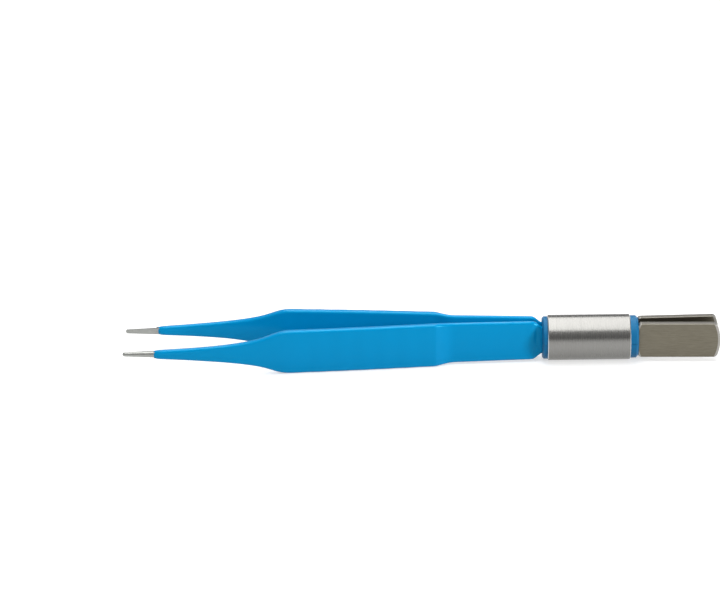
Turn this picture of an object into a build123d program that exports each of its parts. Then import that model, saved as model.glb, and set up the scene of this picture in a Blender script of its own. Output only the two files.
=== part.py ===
from build123d import *
from math import cos, radians, sin, tan
import os

# Straight bipolar forceps, in millimetres.
# The origin is the centre of the sleeve, on its axis. The arms point along -X, the contact plates
# along +X, and the two sides face each other across Y = 0: the near side at -Y, the far side at +Y.

# Lengths along X
tip_reach = 94.0            # from the sleeve's centre to the end of the bare tips
contact_reach = 26.5        # from the sleeve's centre to the end of the contact plates
bare_tip_length = 6.3       # left free of the coat

# Sleeve and the insulator inside it
sleeve_length = 16.7
sleeve_diameter = 9.2
sleeve_wall = 0.28
sleeve_edge = 0.15          # bevel of the sleeve's outer edges
front_collar_length = 1.05  # insulator that shows in front of the sleeve
rear_collar_length = 1.6    # and behind it
front_collar_edge = 0.3     # bevels of the collars
rear_collar_edge = 0.45
seam_gap = 0.06             # parting line between the half shells
bond_gap = 0.01             # glue line between the sleeve and the half shells
seat_gap = 0.02             # glue line round the tangs and the separator

# Contact plates and their tangs
plate_width = 7.25
plate_thickness = 1.3
plate_bulge = 0.8           # how far the end of a plate curves out
plate_corner = 0.9
plate_root_corner = 0.6
plate_edge = 0.12           # bevel round both faces of a plate
tang_width = 5.2
tang_thickness = 1.0        # the plate is thicker, and sits on the collar
tang_offset = 1.1           # middle of a tang, from Y = 0
splay_reach = 7.5           # in front of the sleeve's centre, where the tangs start to splay
splay_angle = 1.8           # each plate's own angle to the X axis
notch_length = 5.0          # notches that the half shells key into
notch_depth = 0.8
separator_width = 6.0

# Arms: thickness of the steel strip, and of its coat
spring_thickness = 0.75     # between the neck and the step
grip_thickness = 1.2
tip_root_thickness = 0.9
tip_end_thickness = 0.45
coat = 0.22
coat_edge = 0.3             # softening of the coat's long edges
coat_end_edge = 0.18
tip_round = 0.45            # rounding of a bare tip's outer side, as a share of its width

# Arms: places along X, measured forward from the sleeve's centre
step_high_reach = 31.6      # end of the step, where the thicker grip starts
grip_middle_reach = 46.0
crest_reach = 60.3          # the arm starts to narrow

# Arms: lengths of their zones along X
hinge_run = 1.0             # from the front collar to where the strip flexes
shoulder_run = 0.7          # from there to the full width of the spring strip
bend_run = 1.15             # and to the end of its bend outward
step_length = 4.3           # the strip steps out and gets thicker over this length
flank_run = 4.7             # from the crest to the flank, the waist and the taper
waist_run = 9.7
taper_run = 17.2

# Arms: middle of the strip, from Y = 0
bend_offset = 1.36
step_low_offset = 2.09
step_high_offset = 3.22
grip_middle_offset = 4.6
crest_offset = 5.62
waist_offset = 6.22
taper_offset = 6.4
tip_root_offset = 6.3
tip_end_offset = 6.22

# Arms: width over the coat
neck_width = 5.65
shoulder_width = 8.15
spring_width = 8.45
grip_width = 9.0
flank_width = 6.7
waist_width = 4.4
taper_width = 2.78
tip_root_width = 1.72
tip_nose_width = 0.85
tip_nose_length = 0.4
tip_nose_turns = (0, 25, 50, 75)  # places of the nose sections, in degrees of a quarter turn
shoulder_round = 1.2
neck_round = 0.5
neck_bend = 1.5
bend_lag = 0.15             # the strip starts to bend outward this far in front of its flexing line
blade_end_round = 0.2

# Running clearances at the neck
hinge_gap = 0.03
stub_gap = 0.09
collar_gap = 0.12

# Worked out from the sizes above
coat_reach = tip_reach - bare_tip_length
insulator_radius = sleeve_diameter / 2 - sleeve_wall - bond_gap
front_face = -sleeve_length / 2 - front_collar_length
rear_face = sleeve_length / 2 + rear_collar_length
half_spring = spring_thickness / 2
half_grip = grip_thickness / 2
half_plate = plate_thickness / 2
half_tang = tang_thickness / 2
plate_root = rear_face + seat_gap
coat_rear = front_face - collar_gap
hinge_reach = hinge_run - front_face
shoulder_reach = hinge_reach + shoulder_run
bend_reach = hinge_reach + bend_run
step_low_reach = step_high_reach - step_length
flank_reach = crest_reach + flank_run
waist_reach = crest_reach + waist_run
taper_reach = crest_reach + taper_run
blade_rear = -hinge_reach + half_spring
stub_front = blade_rear + hinge_gap
stub_width = neck_width - 2 * coat
tip_root_steel = tip_root_width / 2 - coat
strip_slope = (step_low_offset - bend_offset) / (step_low_reach - bend_reach)
strip_flare = (spring_width - shoulder_width) / 2 / (step_low_reach - shoulder_reach)
grip_slope = (grip_middle_offset - step_high_offset) / (grip_middle_reach - step_high_reach)
tip_slope = (tip_root_steel - tip_nose_width / 2) / bare_tip_length
splay = radians(splay_angle)
clear = 2 * sleeve_diameter  # more than any half width or offset


def middle_of_tang(x):
    """Offset of the tang's middle from Y = 0, at a place behind the start of the splay."""
    return tang_offset + (x + splay_reach) * tan(splay)


def draw_arm_face(side, skin, rear):
    """One face of a far arm, moved out by skin: side is 1 for its outer face and -1 for its inner one."""
    spring = side * (half_spring + skin)
    grip = side * (half_grip + skin)
    root = side * (tip_root_thickness / 2 + skin)
    low = (-step_low_reach, step_low_offset + spring)
    high = (-step_high_reach, step_high_offset + grip)
    FilletPolyline(
        (rear, tang_offset + spring),
        (-hinge_reach - bend_lag, tang_offset + spring),
        (-bend_reach, bend_offset + spring),
        low,
        radius=neck_bend,
    )
    Spline(low, high, tangents=((-1, strip_slope), (-1, grip_slope)))
    Spline(
        high,
        (-grip_middle_reach, grip_middle_offset + grip),
        (-crest_reach, crest_offset + grip),
        (-waist_reach, waist_offset + (grip + root) / 2),
        (-taper_reach, taper_offset + root),
        (-coat_reach, tip_root_offset + root),
        tangents=((-1, grip_slope), (-1, 0)),
    )


def arm_side(skin, rear):
    """Side outline of a far arm, from the neck to the front of its coat."""
    root = tip_root_thickness / 2 + skin
    spring = half_spring + skin
    with BuildSketch() as outline:
        with BuildLine():
            draw_arm_face(1, skin, rear)
            draw_arm_face(-1, skin, rear)
            Line((-coat_reach, tip_root_offset - root), (-coat_reach, tip_root_offset + root))
            Line((rear, tang_offset - spring), (rear, tang_offset + spring))
        make_face()
    return outline.sketch


def arm_plan(inset):
    """Outline of an arm's wide face from the collar on, drawn inset from the coated width."""
    neck = neck_width / 2 - inset
    shoulder = shoulder_width / 2 - inset
    spring = spring_width / 2 - inset
    grip = grip_width / 2 - inset
    root = tip_root_width / 2 - inset
    with BuildSketch() as outline:
        with BuildLine():
            FilletPolyline(
                (front_face, neck),
                (-shoulder_reach + shoulder - neck, neck),
                (-shoulder_reach, shoulder),
                (-step_low_reach, spring),
                radius=(neck_round, shoulder_round),
            )
            Spline(
                (-step_low_reach, spring),
                (-step_high_reach, grip),
                tangents=((-1, strip_flare), (-1, 0)),
            )
            Line((-step_high_reach, grip), (-crest_reach, grip))
            Spline(
                (-crest_reach, grip),
                (-flank_reach, flank_width / 2 - inset),
                (-waist_reach, waist_width / 2 - inset),
                (-taper_reach, taper_width / 2 - inset),
                (-coat_reach, root),
                tangents=((-1, 0), (-1, -tip_slope)),
            )
            Line((-coat_reach, root), (-coat_reach, 0))
            Line((front_face, neck), (front_face, 0))
            mirror(about=Plane.XZ)
        make_face()
    return outline.sketch


def tang_side(skin):
    """Side outline of a far tang with its stub and contact plate, moved out by skin."""
    tang = half_tang + skin
    stub = half_spring + skin
    slanted_tang = tang / cos(splay)
    slanted_plate = (half_plate + skin) / cos(splay)
    front = stub_front - skin
    step = -sleeve_length / 2 - skin
    root = plate_root - skin
    end = contact_reach + skin
    with BuildSketch() as outline:
        with BuildLine():
            Polyline(
                (front, tang_offset + stub),
                (step, tang_offset + stub),
                (step, tang_offset + tang),
                (-splay_reach, tang_offset + tang),
                (root, middle_of_tang(root) + slanted_tang),
                (root, middle_of_tang(root) + slanted_plate),
                (end, middle_of_tang(end) + slanted_plate),
                (end, middle_of_tang(end) - slanted_plate),
                (root, middle_of_tang(root) - slanted_plate),
                (root, middle_of_tang(root) - slanted_tang),
                (-splay_reach, tang_offset - tang),
                (step, tang_offset - tang),
                (step, tang_offset - stub),
                (front, tang_offset - stub),
                close=True,
            )
        make_face()
    return outline.sketch


def tang_plan(skin):
    """Outline of a tang's wide face, with the notches in its edges, moved out by skin."""
    front = stub_front - skin
    step = -sleeve_length / 2 - skin
    with BuildSketch() as outline:
        with Locations(((front + plate_root) / 2, 0)):
            Rectangle(plate_root - front, stub_width + 2 * skin)
        with Locations(((step + plate_root) / 2, 0)):
            Rectangle(plate_root - step, tang_width + 2 * skin)
        with GridLocations(0, tang_width, 1, 2):
            Rectangle(notch_length - 2 * skin, 2 * (notch_depth - skin), mode=Mode.SUBTRACT)
    return outline.sketch


def plate_plan():
    """Outline of a contact plate's wide face: its root sits on the collar, and its end curves out."""
    half = plate_width / 2
    shoulder = contact_reach - plate_bulge
    with BuildSketch() as outline:
        with BuildLine():
            Polyline((shoulder, half), (plate_root, half), (plate_root, -half), (shoulder, -half))
            ThreePointArc((shoulder, half), (contact_reach, 0), (shoulder, -half))
        make_face()
        fillet(outline.vertices().sort_by(Axis.X)[:2], plate_root_corner)
        fillet(outline.vertices().sort_by(Axis.X)[-2:], plate_corner)
    return outline.sketch


def tip_section(reach, offset, thickness, width):
    """Section of a far bare tip: flat inside, round outside."""
    with BuildSketch(Plane.YZ.offset(-reach)) as outline:
        with Locations((offset, 0)):
            Rectangle(thickness, width)
        outer_corners = outline.vertices().sort_by(Axis.X)[-2:]
        fillet(outer_corners, tip_round * width)
    return outline.sketch


def runs_lengthwise(edge):
    """Whether an edge runs along the arm, and not round its end or along Y or Z."""
    return edge.bounding_box().size.X > coat_end_edge


def lies_on_plate_face(edge):
    """Whether an edge bounds a wide face of a contact plate, but not at its root or across its thickness."""
    corners = edge.bounding_box()
    return corners.min.X > rear_face and corners.max.X > plate_root + plate_edge and corners.size.Y < half_plate


# Sleeve: a thin steel tube
with BuildPart() as sleeve:
    with BuildSketch(Plane.YZ.offset(-sleeve_length / 2)):
        Circle(sleeve_diameter / 2)
        Circle(sleeve_diameter / 2 - sleeve_wall, mode=Mode.SUBTRACT)
    extrude(amount=sleeve_length)
    outer_edges = sleeve.edges().filter_by(GeomType.CIRCLE).sort_by(SortBy.RADIUS)[-2:]
    chamfer(outer_edges, sleeve_edge)

# Contact plate, tang and stub are one stamped blade
with BuildPart() as far_contact_blade:
    with BuildSketch(Plane.XY):
        add(tang_side(0))
    extrude(amount=clear, both=True)
    with BuildSketch(Plane.XZ):
        add(tang_plan(0))
        add(plate_plan())
    extrude(amount=clear, both=True, mode=Mode.INTERSECT)
    chamfer(far_contact_blade.edges().filter_by(lies_on_plate_face), plate_edge)

with BuildPart() as near_contact_blade:
    mirror(far_contact_blade.part, about=Plane.XZ)

# Space that a tang takes up in the insulator, with its glue line
with BuildPart() as far_seat:
    with BuildSketch(Plane.XY):
        add(tang_side(seat_gap))
    extrude(amount=clear, both=True)
    with BuildSketch(Plane.XZ):
        add(tang_plan(seat_gap))
    extrude(amount=clear, both=True, mode=Mode.INTERSECT)

# Separator: wedge-shaped sheet between the two tangs
with BuildPart() as separator:
    with BuildSketch(Plane.XY):
        front_half = tang_offset - half_tang - seat_gap
        rear_half = middle_of_tang(rear_face) - half_tang / cos(splay) - seat_gap
        Polygon(
            (-sleeve_length / 2, -front_half),
            (-splay_reach, -front_half),
            (rear_face, -rear_half),
            (rear_face, rear_half),
            (-splay_reach, front_half),
            (-sleeve_length / 2, front_half),
            align=None,
        )
    extrude(amount=separator_width / 2, both=True)

# Insulator: a turned body with seats for the tangs and the separator, parted at Z = 0
with BuildPart() as insulator:
    with BuildSketch(Plane.YZ.offset(front_face)):
        Circle(insulator_radius)
    extrude(amount=rear_face - front_face)
    chamfer(insulator.edges().sort_by(Axis.X)[0], front_collar_edge)
    chamfer(insulator.edges().sort_by(Axis.X)[-1], rear_collar_edge)
    add(far_seat.part, mode=Mode.SUBTRACT)
    mirror(far_seat.part, about=Plane.XZ, mode=Mode.SUBTRACT)
    add(separator.part, mode=Mode.SUBTRACT)

with BuildPart() as insulator_upper_half:
    add(insulator.part)
    split(bisect_by=Plane.XY.offset(seam_gap / 2), keep=Keep.TOP)

with BuildPart() as insulator_lower_half:
    add(insulator.part)
    split(bisect_by=Plane.XY.offset(-seam_gap / 2), keep=Keep.BOTTOM)

# Arm: spring steel strip with a rounded rear end that turns against the stub, and a bare tip
with BuildPart() as far_arm_blade:
    with BuildSketch(Plane.XY):
        add(arm_side(0, blade_rear))
    extrude(amount=clear, both=True)
    with BuildSketch(Plane.XZ):
        add(arm_plan(coat))
    extrude(amount=clear, both=True, mode=Mode.INTERSECT)
    rear_edges = far_arm_blade.faces().sort_by(Axis.X)[-1].edges().filter_by(Axis.Z)
    fillet(rear_edges, blade_end_round)

    nose_start = tip_reach - tip_nose_length
    nose = [
        tip_section(
            nose_start + tip_nose_length * sin(radians(turn)),
            tip_end_offset,
            tip_end_thickness * cos(radians(turn)),
            tip_nose_width * cos(radians(turn)),
        )
        for turn in tip_nose_turns
    ]
    loft([tip_section(coat_reach, tip_root_offset, tip_root_thickness, 2 * tip_root_steel)] + nose, ruled=True)

# Coat: follows the strip at its own thickness, and slides over the stub at the neck
with BuildPart() as far_arm_insulation:
    with BuildSketch(Plane.XY):
        add(arm_side(coat, coat_rear))
    extrude(amount=clear, both=True)
    with BuildSketch(Plane.XZ):
        add(arm_plan(0))
    extrude(amount=clear, both=True, mode=Mode.INTERSECT)
    chamfer(far_arm_insulation.edges().filter_by(runs_lengthwise), coat_edge)
    chamfer(far_arm_insulation.faces().sort_by(Axis.X)[0].edges(), coat_end_edge)
    add(far_arm_blade.part, mode=Mode.SUBTRACT)
    with Locations(((coat_rear - hinge_reach) / 2, tang_offset, 0)):
        Box(
            coat_rear + hinge_reach,
            spring_thickness + 2 * stub_gap,
            stub_width + 2 * stub_gap,
            mode=Mode.SUBTRACT,
        )

with BuildPart() as near_arm_blade:
    mirror(far_arm_blade.part, about=Plane.XZ)

with BuildPart() as near_arm_insulation:
    mirror(far_arm_insulation.part, about=Plane.XZ)

pieces = {
    "sleeve": sleeve,
    "insulator_upper_half": insulator_upper_half,
    "insulator_lower_half": insulator_lower_half,
    "separator": separator,
    "near_contact_blade": near_contact_blade,
    "far_contact_blade": far_contact_blade,
    "near_arm_blade": near_arm_blade,
    "far_arm_blade": far_arm_blade,
    "near_arm_insulation": near_arm_insulation,
    "far_arm_insulation": far_arm_insulation,
}
os.makedirs("parts", exist_ok=True)
for name, piece in pieces.items():
    piece.part.label = name
    export_step(piece.part, f"parts/{name}.step")
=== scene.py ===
import bpy
import math
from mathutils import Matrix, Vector


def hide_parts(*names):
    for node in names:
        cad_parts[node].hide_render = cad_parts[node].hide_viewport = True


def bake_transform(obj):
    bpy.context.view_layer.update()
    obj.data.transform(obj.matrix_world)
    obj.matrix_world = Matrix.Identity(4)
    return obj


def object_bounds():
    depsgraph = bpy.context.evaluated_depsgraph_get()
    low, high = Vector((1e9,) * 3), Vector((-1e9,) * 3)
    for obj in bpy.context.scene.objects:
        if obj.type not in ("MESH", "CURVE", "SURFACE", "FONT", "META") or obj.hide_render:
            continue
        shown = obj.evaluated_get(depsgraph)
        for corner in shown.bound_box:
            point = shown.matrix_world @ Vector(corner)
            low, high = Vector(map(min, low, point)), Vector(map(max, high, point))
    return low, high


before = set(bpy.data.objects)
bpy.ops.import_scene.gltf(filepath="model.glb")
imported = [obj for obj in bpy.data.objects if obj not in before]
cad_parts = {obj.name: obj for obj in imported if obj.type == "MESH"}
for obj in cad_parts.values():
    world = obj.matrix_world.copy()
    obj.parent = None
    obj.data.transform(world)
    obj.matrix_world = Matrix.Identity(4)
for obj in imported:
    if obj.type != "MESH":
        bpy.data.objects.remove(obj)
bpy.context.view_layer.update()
mm = 0.001
print("frame loaded:", len(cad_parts), "nodes")

# small helpers


def clearSelection():
    if bpy.context.object and bpy.context.object.mode != "OBJECT":
        bpy.ops.object.mode_set(mode="OBJECT")
    bpy.ops.object.select_all(action="DESELECT")


def applyPlace(piece):
    # the place goes into the mesh, so the object ends up at the origin
    clearSelection()
    piece.select_set(True)
    bpy.context.view_layer.objects.active = piece
    bpy.ops.object.transform_apply(location=True, rotation=True, scale=True)


def selectFaces(piece, wanted):
    # in edit mode, leaves only the faces selected that the test wants
    bpy.ops.mesh.select_mode(type="FACE")
    bpy.ops.object.mode_set(mode="OBJECT")
    for vertex in piece.data.vertices:
        vertex.select = False
    for edge in piece.data.edges:
        edge.select = False
    for face in piece.data.polygons:
        face.select = bool(wanted(face))
    bpy.ops.object.mode_set(mode="EDIT")


def selectEdges(piece, wanted):
    # the same for edges, by their two end points
    bpy.ops.mesh.select_mode(type="EDGE")
    bpy.ops.object.mode_set(mode="OBJECT")
    points = piece.data.vertices
    for vertex in points:
        vertex.select = False
    for face in piece.data.polygons:
        face.select = False
    for edge in piece.data.edges:
        edge.select = bool(wanted(points[edge.vertices[0]].co, points[edge.vertices[1]].co))
    bpy.ops.object.mode_set(mode="EDIT")


# shader node groups, shared by the materials


def newGroup(name, inputs, outputs):
    group = bpy.data.node_groups.new(name, "ShaderNodeTree")
    for label, kind, value in inputs:
        socket = group.interface.new_socket(name=label, in_out="INPUT", socket_type=kind)
        if value is not None:
            socket.default_value = value
    for label, kind in outputs:
        group.interface.new_socket(name=label, in_out="OUTPUT", socket_type=kind)
    start = group.nodes.new("NodeGroupInput")
    end = group.nodes.new("NodeGroupOutput")
    start.location = (-700, 0)
    end.location = (500, 0)
    return group, start, end


def makeBrushGroup():
    # fine lines of a brushing belt: noise drawn out along one direction
    group, start, end = newGroup(
        "brushLines",
        [
            ("Vector", "NodeSocketVector", None),
            ("Stretch", "NodeSocketVector", (1.0, 1.0, 1.0)),
            ("Base Color", "NodeSocketColor", (0.6, 0.6, 0.58, 1)),
            ("Line Color", "NodeSocketColor", (0.4, 0.4, 0.38, 1)),
            ("Roughness Low", "NodeSocketFloat", 0.25),
            ("Roughness High", "NodeSocketFloat", 0.4),
        ],
        [("Color", "NodeSocketColor"), ("Roughness", "NodeSocketFloat"), ("Height", "NodeSocketFloat")],
    )
    nodes, links = group.nodes, group.links
    stretched = nodes.new("ShaderNodeVectorMath")
    stretched.operation = "MULTIPLY"
    links.new(start.outputs["Vector"], stretched.inputs[0])
    links.new(start.outputs["Stretch"], stretched.inputs[1])
    fine = nodes.new("ShaderNodeTexNoise")
    fine.inputs["Scale"].default_value = 1.0
    fine.inputs["Detail"].default_value = 4.0
    fine.inputs["Roughness"].default_value = 0.65
    links.new(stretched.outputs[0], fine.inputs["Vector"])
    spread = nodes.new("ShaderNodeMapRange")
    spread.inputs["From Min"].default_value = 0.3
    spread.inputs["From Max"].default_value = 0.7
    links.new(fine.outputs["Fac"], spread.inputs["Value"])
    tone = nodes.new("ShaderNodeMix")
    tone.data_type = "RGBA"
    links.new(spread.outputs["Result"], tone.inputs["Factor"])
    links.new(start.outputs["Line Color"], tone.inputs["A"])
    links.new(start.outputs["Base Color"], tone.inputs["B"])
    rough = nodes.new("ShaderNodeMapRange")
    links.new(spread.outputs["Result"], rough.inputs["Value"])
    links.new(start.outputs["Roughness High"], rough.inputs["To Min"])
    links.new(start.outputs["Roughness Low"], rough.inputs["To Max"])
    links.new(tone.outputs["Result"], end.inputs["Color"])
    links.new(rough.outputs["Result"], end.inputs["Roughness"])
    links.new(spread.outputs["Result"], end.inputs["Height"])
    return group


def makeSkinGroup():
    # a moulded or dipped plastic skin: faint cloudy tone and a fine orange peel
    group, start, end = newGroup(
        "plasticSkin",
        [
            ("Vector", "NodeSocketVector", None),
            ("Base Color", "NodeSocketColor", (0.1, 0.3, 0.6, 1)),
            ("Cloud Color", "NodeSocketColor", (0.1, 0.32, 0.64, 1)),
            ("Cloud Scale", "NodeSocketFloat", 150.0),
            ("Peel Scale", "NodeSocketFloat", 1800.0),
            ("Roughness Low", "NodeSocketFloat", 0.35),
            ("Roughness High", "NodeSocketFloat", 0.45),
        ],
        [("Color", "NodeSocketColor"), ("Roughness", "NodeSocketFloat"), ("Height", "NodeSocketFloat")],
    )
    nodes, links = group.nodes, group.links
    cloud = nodes.new("ShaderNodeTexNoise")
    cloud.inputs["Detail"].default_value = 3.0
    links.new(start.outputs["Vector"], cloud.inputs["Vector"])
    links.new(start.outputs["Cloud Scale"], cloud.inputs["Scale"])
    tone = nodes.new("ShaderNodeMix")
    tone.data_type = "RGBA"
    links.new(cloud.outputs["Fac"], tone.inputs["Factor"])
    links.new(start.outputs["Base Color"], tone.inputs["A"])
    links.new(start.outputs["Cloud Color"], tone.inputs["B"])
    peel = nodes.new("ShaderNodeTexNoise")
    peel.inputs["Detail"].default_value = 2.0
    links.new(start.outputs["Vector"], peel.inputs["Vector"])
    links.new(start.outputs["Peel Scale"], peel.inputs["Scale"])
    rough = nodes.new("ShaderNodeMapRange")
    rough.inputs["From Min"].default_value = 0.3
    rough.inputs["From Max"].default_value = 0.7
    links.new(cloud.outputs["Fac"], rough.inputs["Value"])
    links.new(start.outputs["Roughness Low"], rough.inputs["To Min"])
    links.new(start.outputs["Roughness High"], rough.inputs["To Max"])
    links.new(tone.outputs["Result"], end.inputs["Color"])
    links.new(rough.outputs["Result"], end.inputs["Roughness"])
    links.new(peel.outputs["Fac"], end.inputs["Height"])
    return group


brushLines = makeBrushGroup()
plasticSkin = makeSkinGroup()
print("node groups made")

# materials


def newMaterial(name, group, values, bumpStrength, bumpDistance, shaderValues):
    material = bpy.data.materials.new(name)
    material.use_nodes = True
    nodes, links = material.node_tree.nodes, material.node_tree.links
    shader = nodes["Principled BSDF"]
    for socket, value in shaderValues.items():
        shader.inputs[socket].default_value = value
    where = nodes.new("ShaderNodeTexCoord")
    surface = nodes.new("ShaderNodeGroup")
    surface.node_tree = group
    for socket, value in values.items():
        surface.inputs[socket].default_value = value
    links.new(where.outputs["Object"], surface.inputs["Vector"])
    links.new(surface.outputs["Color"], shader.inputs["Base Color"])
    links.new(surface.outputs["Roughness"], shader.inputs["Roughness"])
    bump = nodes.new("ShaderNodeBump")
    bump.inputs["Strength"].default_value = bumpStrength
    bump.inputs["Distance"].default_value = bumpDistance
    links.new(surface.outputs["Height"], bump.inputs["Height"])
    links.new(bump.outputs["Normal"], shader.inputs["Normal"])
    return material


coatBlue = newMaterial(
    "coatBlue",
    plasticSkin,
    {
        "Base Color": (0.0, 0.25, 0.55, 1),
        "Cloud Color": (0.0, 0.263, 0.575, 1),
        "Cloud Scale": 120.0,
        "Peel Scale": 1500.0,
        "Roughness Low": 0.15,
        "Roughness High": 0.21,
    },
    bumpStrength=0.1,
    bumpDistance=0.03 * mm,
    shaderValues={"Specular IOR Level": 0.42, "Specular Tint": (0.12, 0.72, 0.75, 1)},
)
insulatorBlue = newMaterial(
    "insulatorBlue",
    plasticSkin,
    {
        "Base Color": (0.004, 0.12, 0.28, 1),
        "Cloud Color": (0.006, 0.132, 0.305, 1),
        "Cloud Scale": 300.0,
        "Peel Scale": 2500.0,
        "Roughness Low": 0.38,
        "Roughness High": 0.5,
    },
    bumpStrength=0.15,
    bumpDistance=0.04 * mm,
    shaderValues={"Specular IOR Level": 0.3, "Specular Tint": (0.5, 0.85, 1.0, 1)},
)
sleeveSteel = newMaterial(
    "sleeveSteel",
    brushLines,
    {
        "Stretch": (20000.0, 130.0, 130.0),
        "Base Color": (0.23, 0.227, 0.217, 1),
        "Line Color": (0.215, 0.212, 0.202, 1),
        "Roughness Low": 0.22,
        "Roughness High": 0.32,
    },
    bumpStrength=0.16,
    bumpDistance=0.02 * mm,
    shaderValues={"Metallic": 1.0},
)
contactSteel = newMaterial(
    "contactSteel",
    brushLines,
    {
        "Stretch": (500.0, 3500.0, 6500.0),
        "Base Color": (0.17, 0.155, 0.12, 1),
        "Line Color": (0.14, 0.128, 0.098, 1),
        "Roughness Low": 0.34,
        "Roughness High": 0.5,
    },
    bumpStrength=0.25,
    bumpDistance=0.02 * mm,
    shaderValues={"Metallic": 1.0},
)
tipSteel = newMaterial(
    "tipSteel",
    brushLines,
    {
        "Stretch": (700.0, 5000.0, 5000.0),
        "Base Color": (0.33, 0.335, 0.32, 1),
        "Line Color": (0.26, 0.265, 0.25, 1),
        "Roughness Low": 0.26,
        "Roughness High": 0.4,
    },
    bumpStrength=0.2,
    bumpDistance=0.02 * mm,
    shaderValues={"Metallic": 1.0},
)


def makeEdgeHighlightGroup():
    # 1 on the edges of a steel piece, which get their polish and a painted highlight: beyond a box, or
    # beyond a round end
    group, start, end = newGroup(
        "polishedEdgeHighlight",
        [
            ("Vector", "NodeSocketVector", None),
            ("Centre", "NodeSocketVector", (0.0, 0.0, 0.0)),
            ("Half Size", "NodeSocketVector", (1.0, 1.0, 1.0)),
            ("End Radius", "NodeSocketFloat", 1.0),
            ("Softness", "NodeSocketFloat", 0.03 * mm),
        ],
        [("Mask", "NodeSocketFloat")],
    )
    nodes, links = group.nodes, group.links
    fromCentre = nodes.new("ShaderNodeVectorMath")
    fromCentre.operation = "SUBTRACT"
    links.new(start.outputs["Vector"], fromCentre.inputs[0])
    links.new(start.outputs["Centre"], fromCentre.inputs[1])
    outward = nodes.new("ShaderNodeVectorMath")
    outward.operation = "ABSOLUTE"
    links.new(fromCentre.outputs[0], outward.inputs[0])
    beyond = nodes.new("ShaderNodeVectorMath")
    beyond.operation = "SUBTRACT"
    links.new(outward.outputs[0], beyond.inputs[0])
    links.new(start.outputs["Half Size"], beyond.inputs[1])
    split = nodes.new("ShaderNodeSeparateXYZ")
    links.new(beyond.outputs[0], split.inputs[0])
    most = nodes.new("ShaderNodeMath")
    most.operation = "MAXIMUM"
    links.new(split.outputs["X"], most.inputs[0])
    links.new(split.outputs["Z"], most.inputs[1])
    flat = nodes.new("ShaderNodeVectorMath")
    flat.operation = "MULTIPLY"
    flat.inputs[1].default_value = (1.0, 0.0, 1.0)
    links.new(fromCentre.outputs[0], flat.inputs[0])
    radius = nodes.new("ShaderNodeVectorMath")
    radius.operation = "LENGTH"
    links.new(flat.outputs[0], radius.inputs[0])
    outside = nodes.new("ShaderNodeMath")
    outside.operation = "SUBTRACT"
    links.new(radius.outputs["Value"], outside.inputs[0])
    links.new(start.outputs["End Radius"], outside.inputs[1])
    either = nodes.new("ShaderNodeMath")
    either.operation = "MAXIMUM"
    links.new(most.outputs[0], either.inputs[0])
    links.new(outside.outputs[0], either.inputs[1])
    soft = nodes.new("ShaderNodeMapRange")
    links.new(either.outputs[0], soft.inputs["Value"])
    soft.inputs["From Min"].default_value = 0.0
    links.new(start.outputs["Softness"], soft.inputs["From Max"])
    links.new(soft.outputs["Result"], end.inputs["Mask"])
    return group


polishedEdgeHighlight = makeEdgeHighlightGroup()


edgePolishAndHighlight = {
    "sleeveFace": 8.2,  # half the length of the sleeve that stays brushed
    "plateFace": 3.52,  # half the width of the plates that stays brushed
    "plateEndCentre": 17.89,  # the plates' round end: its centre and the brushed part's radius
    "plateEndRadius": 8.1,
    "beyond": 1000.0,  # further out than any edge
    # lighter edge tones: partly the polish of the edges, partly a painted highlight of the light they catch
    "sleeveEdgeHighlight": (0.6, 0.6, 0.59, 1),
    "plateSideHighlight": (0.225, 0.215, 0.19, 1),
    "plateEndHighlight": (0.33, 0.32, 0.295, 1),
}


# paints the edges lighter in the base colour: their polish and a painted highlight
def polishAndHighlightEdges(material, centre, halfSize, endRadius, color):
    nodes, links = material.node_tree.nodes, material.node_tree.links
    where = nodes["Texture Coordinate"]
    mask = nodes.new("ShaderNodeGroup")
    mask.node_tree = polishedEdgeHighlight
    mask.inputs["Centre"].default_value = [value * mm for value in centre]
    mask.inputs["Half Size"].default_value = [value * mm for value in halfSize]
    mask.inputs["End Radius"].default_value = endRadius * mm
    links.new(where.outputs["Object"], mask.inputs["Vector"])
    shader = nodes["Principled BSDF"]
    surface = shader.inputs["Base Color"].links[0].from_socket
    tone = nodes.new("ShaderNodeMix")
    tone.data_type = "RGBA"
    tone.inputs["B"].default_value = color
    links.new(mask.outputs["Mask"], tone.inputs["Factor"])
    links.new(surface, tone.inputs["A"])
    links.new(tone.outputs["Result"], shader.inputs["Base Color"])


beyond = edgePolishAndHighlight["beyond"]
polishAndHighlightEdges(sleeveSteel, (0, 0, 0), (edgePolishAndHighlight["sleeveFace"], beyond, beyond), beyond, edgePolishAndHighlight["sleeveEdgeHighlight"])
polishAndHighlightEdges(contactSteel, (0, 0, 0), (beyond, beyond, edgePolishAndHighlight["plateFace"]), beyond, edgePolishAndHighlight["plateSideHighlight"])
polishAndHighlightEdges(
    contactSteel,
    (edgePolishAndHighlight["plateEndCentre"], 0, 0),
    (beyond, beyond, beyond),
    edgePolishAndHighlight["plateEndRadius"],
    edgePolishAndHighlight["plateEndHighlight"],
)
print("materials made")

finishes = {
    "sleeve": sleeveSteel,
    "insulator_upper_half": insulatorBlue,
    "insulator_lower_half": insulatorBlue,
    "separator": insulatorBlue,
    "near_contact_blade": contactSteel,
    "far_contact_blade": contactSteel,
    "near_arm_blade": tipSteel,
    "far_arm_blade": tipSteel,
    "near_arm_insulation": coatBlue,
    "far_arm_insulation": coatBlue,
}
for name, material in finishes.items():
    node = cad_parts[name]
    node.data.materials.clear()
    node.data.materials.append(material)
print("finishes given to the CAD nodes")

# arm coats: one smooth skin each, from the collar to the bare tip

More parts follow.
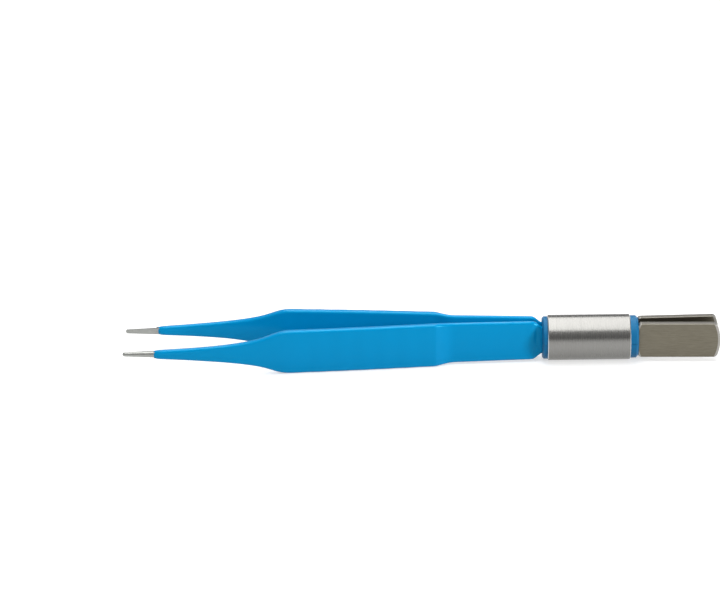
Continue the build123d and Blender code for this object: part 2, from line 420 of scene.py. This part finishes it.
armCoat = {
    "edgeRound": 0.5,
    "edgeSegments": 4,
    "stepsBetween": 3,  # extra sections between two stations
    "sharpAngle": 50,
    "fluteStart": 32.2,  # shallow finger flutes in the outer face of the grip
    "flutePitch": 4.45,
    "fluteCount": 6,
    "fluteDepth": 0.06,
    "fluteSteps": 8,  # sections in one flute
    "fluteMargin": 0.1,
    "tipStart": 84.0,  # from here on, the far coat ends a little sooner
    "tipShorter": {"near": 0.0, "far": 0.35},
    "flexStart": 9.6,  # the coat bends between these two places
    "flexEnd": 11.2,
    # sections: forward of the sleeve's centre, offset from the middle plane, thickness, width
    "stations": [
        (9.41, 1.1, 1.19, 5.75),
        (9.65, 1.1, 1.19, 5.95),
        (10.0, 1.1, 1.19, 6.5),
        (10.4, 1.105, 1.19, 7.15),
        (10.7, 1.14, 1.19, 7.65),
        (11.0, 1.217, 1.19, 8.0),
        (11.4, 1.321, 1.19, 8.23),
        (12.0, 1.381, 1.19, 8.28),
        (13.0, 1.427, 1.19, 8.3),
        (16.0, 1.566, 1.19, 8.35),
        (20.0, 1.752, 1.19, 8.42),
        (24.0, 1.937, 1.19, 8.49),
        (27.3, 2.09, 1.2, 8.55),
        (28.2, 2.225, 1.25, 8.62),
        (28.8, 2.38, 1.3, 8.72),
        (29.4, 2.57, 1.36, 8.83),
        (30.0, 2.785, 1.43, 8.95),
        (30.6, 3.005, 1.57, 9.05),
        (30.9, 3.11, 1.64, 9.09),
        (31.3, 3.18, 1.65, 9.12),
        (33.0, 3.356, 1.64, 9.12),
        (38.0, 3.851, 1.64, 9.12),
        (43.0, 4.334, 1.64, 9.12),
        (48.0, 4.763, 1.64, 9.12),
        (53.0, 5.129, 1.65, 9.12),
        (58.0, 5.465, 1.65, 9.12),
        (60.3, 5.62, 1.64, 9.11),
        (61.2, 5.681, 1.634, 9.02),
        (62.3, 5.757, 1.623, 8.64),
        (63.4, 5.831, 1.609, 7.98),
        (64.6, 5.911, 1.593, 7.1),
        (66.0, 6.001, 1.57, 6.2),
        (67.5, 6.091, 1.543, 5.46),
        (69.2, 6.182, 1.508, 4.82),
        (71.0, 6.263, 1.468, 4.28),
        (73.2, 6.337, 1.417, 3.74),
        (75.8, 6.384, 1.364, 3.24),
        (79.0, 6.396, 1.33, 2.74),
        (82.5, 6.353, 1.33, 2.27),
        (86.1, 6.31, 1.33, 1.88),
        (86.8, 6.303, 1.31, 1.77),
        (87.25, 6.3, 1.24, 1.66),
        (87.55, 6.3, 1.12, 1.5),
        (87.69, 6.3, 0.98, 1.34),
    ],
}


def smoothStations(stations, steps):
    # more sections between the stations, on a smooth curve through them
    slopes = []
    for index in range(len(stations)):
        before = stations[max(index - 1, 0)]
        after = stations[min(index + 1, len(stations) - 1)]
        span = after[0] - before[0]
        slopes.append([(b - a) / span for a, b in zip(before, after)])
    result = []
    for index in range(len(stations) - 1):
        left, right = stations[index], stations[index + 1]
        span = right[0] - left[0]
        for step in range(steps + 1):
            t = step / (steps + 1)
            section = [left[0] + span * t]
            for k in (1, 2, 3):
                section.append(
                    left[k] * (2 * t**3 - 3 * t**2 + 1)
                    + slopes[index][k] * span * (t**3 - 2 * t**2 + t)
                    + right[k] * (3 * t**2 - 2 * t**3)
                    + slopes[index + 1][k] * span * (t**3 - t**2)
                )
            result.append(section)
    result.append(list(stations[-1]))
    return result


def addFlutes(sections, values):
    # more sections along the grip, let into the outer face only
    steps = values["fluteSteps"]
    pitch = values["flutePitch"]
    start = values["fluteStart"]
    end = start + values["fluteCount"] * pitch
    fluted = []
    for index in range(steps * values["fluteCount"] + 1):
        reach = start + index * pitch / steps
        left = max((entry for entry in sections if entry[0] <= reach), key=lambda entry: entry[0])
        right = min((entry for entry in sections if entry[0] > reach), key=lambda entry: entry[0])
        t = (reach - left[0]) / (right[0] - left[0])
        section = [a + (b - a) * t for a, b in zip(left, right)]
        depth = values["fluteDepth"] * (1 - math.cos(2 * math.pi * index / steps)) / 2
        section[1] -= depth / 2
        section[2] -= depth
        fluted.append(section)
    margin = values["fluteMargin"]
    outside = [entry for entry in sections if entry[0] < start - margin or entry[0] > end + margin]
    return sorted(outside + fluted)


def shortenTip(sections, values, side):
    tipStart, tipEnd = values["tipStart"], sections[-1][0]
    for section in sections:
        if section[0] > tipStart:
            section[0] -= values["tipShorter"][side] * (section[0] - tipStart) / (tipEnd - tipStart)


def makeArmCoat(side):
    values = armCoat
    sign = -1 if side == "near" else 1
    sections = addFlutes(smoothStations(values["stations"], values["stepsBetween"]), values)
    shortenTip(sections, values, side)
    reach, offset, thickness, width = sections[0]
    nextReach = sections[1][0]
    clearSelection()
    middle = (-(reach + nextReach) / 2 * mm, sign * offset * mm, 0)
    bpy.ops.mesh.primitive_cube_add(size=1, location=middle)
    coat = bpy.context.object
    coat.name = side + "ArmCoat"
    coat.scale = ((nextReach - reach) * mm, thickness * mm, width * mm)
    applyPlace(coat)
    bpy.ops.object.mode_set(mode="EDIT")
    selectFaces(coat, lambda face: face.normal.x < -0.9)  # the end towards the tip
    for before, after in zip(sections[1:], sections[2:]):
        step = (-(after[0] - before[0]) * mm, sign * (after[1] - before[1]) * mm, 0)
        bpy.ops.mesh.extrude_region_move(TRANSFORM_OT_translate={"value": step})
        grow = (1, after[2] / before[2], after[3] / before[3])
        centre = (-after[0] * mm, sign * after[1] * mm, 0)
        bpy.ops.transform.resize(value=grow, center_override=centre)
    tiny = 0.005 * mm
    selectEdges(coat, lambda a, b: abs(a.x - b.x) > tiny)  # the lengthwise edges
    bpy.ops.mesh.bevel(
        offset=values["edgeRound"] * mm, segments=values["edgeSegments"], profile=0.5, clamp_overlap=False
    )
    bpy.ops.mesh.select_all(action="SELECT")
    bpy.ops.mesh.normals_make_consistent(inside=False)
    bpy.ops.object.mode_set(mode="OBJECT")
    clearSelection()
    coat.select_set(True)
    bpy.context.view_layer.objects.active = coat
    bpy.ops.object.shade_smooth_by_angle(angle=math.radians(values["sharpAngle"]))
    coat.data.materials.append(coatBlue)
    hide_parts(side + "_arm_insulation")
    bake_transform(coat)
    return coat


for side in ("near", "far"):
    coat = makeArmCoat(side)
    print("coat made:", coat.name, len(coat.data.polygons), "faces")

# floor, light and camera

studio = {
    "floorColor": (0.57, 0.57, 0.57, 1),
    "floorSize": 1.8,
    "floorGlow": 0.56,  # seen by the camera and in reflections, lights nothing
    "floorRoughness": 0.9,
    "horizonColor": (0.16, 0.16, 0.165, 1),
    "skyColor": (0.55, 0.55, 0.55, 1),
    "whiteBelow": 0.12,  # heights in the sky, from 0 at the horizon to 1 overhead
    "darkAt": 0.2,
    "lightDarkBelow": 0.1,
    "skyAt": 0.8,
    "topRadiance": 3.7,  # lamps: radiance, size and place, in metres
    "topSize": (0.32, 1.1),
    "topPlace": (-0.04, 0.17, 0.55),
    "sideRadiance": 37.0,
    "sideSize": (0.19, 0.19),
    "sidePlace": (0.66, -0.43, 0.23),
    "sideAim": (-0.04, 0, 0),
}


def backgroundRays(nodes, links):
    # 1 for the rays that show the background: straight, mirrored or through something clear
    rays = nodes.new("ShaderNodeLightPath")
    mirrored = nodes.new("ShaderNodeMath")
    mirrored.operation = "MAXIMUM"
    links.new(rays.outputs["Is Camera Ray"], mirrored.inputs[0])
    links.new(rays.outputs["Is Glossy Ray"], mirrored.inputs[1])
    through = nodes.new("ShaderNodeMath")
    through.operation = "MAXIMUM"
    links.new(mirrored.outputs[0], through.inputs[0])
    links.new(rays.outputs["Is Transmission Ray"], through.inputs[1])
    return through.outputs[0]


def makeFloor():
    clearSelection()
    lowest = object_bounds()[0].z
    bpy.ops.mesh.primitive_plane_add(size=studio["floorSize"], location=(0, 0, lowest))
    floor = bpy.context.object
    floor.name = "floor"
    material = bpy.data.materials.new("paleFloor")
    material.use_nodes = True
    nodes, links = material.node_tree.nodes, material.node_tree.links
    shader = nodes["Principled BSDF"]
    shader.inputs["Base Color"].default_value = studio["floorColor"]
    shader.inputs["Roughness"].default_value = studio["floorRoughness"]
    shader.inputs["Specular IOR Level"].default_value = 0.1
    glow = nodes.new("ShaderNodeEmission")
    glow.inputs["Strength"].default_value = studio["floorGlow"]
    seen = nodes.new("ShaderNodeMixShader")
    dark = nodes.new("ShaderNodeEmission")
    dark.inputs["Strength"].default_value = 0.0
    together = nodes.new("ShaderNodeAddShader")
    links.new(backgroundRays(nodes, links), seen.inputs["Fac"])
    links.new(dark.outputs["Emission"], seen.inputs[1])
    links.new(glow.outputs["Emission"], seen.inputs[2])
    links.new(shader.outputs["BSDF"], together.inputs[0])
    links.new(seen.outputs["Shader"], together.inputs[1])
    links.new(together.outputs["Shader"], nodes["Material Output"].inputs["Surface"])
    floor.data.materials.append(material)
    return floor


def makeWorld():
    # dark low down, so that steel shows a dark band, and white along the horizon where it is seen
    world = bpy.data.worlds.new("studio")
    bpy.context.scene.world = world
    world.use_nodes = True
    nodes, links = world.node_tree.nodes, world.node_tree.links
    direction = nodes.new("ShaderNodeTexCoord")
    split = nodes.new("ShaderNodeSeparateXYZ")
    links.new(direction.outputs["Generated"], split.inputs[0])
    sky = (studio["skyAt"], studio["skyColor"])
    lightTones = [(studio["lightDarkBelow"], studio["horizonColor"]), sky]
    seenTones = [(studio["whiteBelow"], (1, 1, 1, 1)), (studio["darkAt"], studio["horizonColor"]), sky]
    backgrounds = []
    for tones in (lightTones, seenTones):
        ramp = nodes.new("ShaderNodeValToRGB")
        stops = ramp.color_ramp.elements
        while len(stops) < len(tones):
            stops.new(0.5)
        for stop, (position, color) in zip(stops, tones):
            stop.position = position
            stop.color = color
        background = nodes.new("ShaderNodeBackground")
        background.inputs["Strength"].default_value = 1.0
        links.new(split.outputs["Z"], ramp.inputs["Fac"])
        links.new(ramp.outputs["Color"], background.inputs["Color"])
        backgrounds.append(background)
    mix = nodes.new("ShaderNodeMixShader")
    links.new(backgroundRays(nodes, links), mix.inputs["Fac"])
    links.new(backgrounds[0].outputs["Background"], mix.inputs[1])
    links.new(backgrounds[1].outputs["Background"], mix.inputs[2])
    links.new(mix.outputs["Shader"], nodes["World Output"].inputs["Surface"])


def makeLamp(name, place, aim, size, radiance):
    data = bpy.data.lights.new(name, "AREA")
    data.shape = "RECTANGLE"
    data.size, data.size_y = size
    data.energy = radiance * math.pi * size[0] * size[1]  # watts for that radiance
    lamp = bpy.data.objects.new(name, data)
    bpy.context.scene.collection.objects.link(lamp)
    lamp.location = place
    lamp.rotation_euler = (Vector(aim) - Vector(place)).to_track_quat("-Z", "Y").to_euler()
    return lamp


view = {
    "elevation": 22.0,  # angles in degrees, lengths in millimetres
    "distance": 760.0,
    "lens": 187.7,
    "aimForward": 46.14,  # forward of the sleeve's centre
    "aimUp": 8.06,
    "roll": 0.74,
}


def makeCamera():
    data = bpy.data.cameras.new("photoCamera")
    data.sensor_width = 36.0
    data.lens = view["lens"]
    data.clip_start = 0.01
    camera = bpy.data.objects.new("photoCamera", data)
    bpy.context.scene.collection.objects.link(camera)
    tilt = math.radians(view["elevation"])
    forward = Vector((0, math.cos(tilt), -math.sin(tilt)))
    up = Vector((0, math.sin(tilt), math.cos(tilt)))
    aim = Vector((-view["aimForward"], 0, 0)) + up * view["aimUp"]
    camera.location = (aim - forward * view["distance"]) * mm
    turn = forward.to_track_quat("-Z", "Y").to_matrix()
    camera.rotation_euler = turn.to_euler()
    camera.rotation_euler.rotate_axis("Z", math.radians(-view["roll"]))
    bpy.context.scene.camera = camera


makeFloor()
makeWorld()
topX, topY, topZ = studio["topPlace"]
makeLamp("topSoftbox", (topX, topY, topZ), (topX, topY, 0), studio["topSize"], studio["topRadiance"])
makeLamp("sideSoftbox", studio["sidePlace"], studio["sideAim"], studio["sideSize"], studio["sideRadiance"])
makeCamera()
bpy.context.scene.view_settings.view_transform = "Standard"
print("studio and camera made")
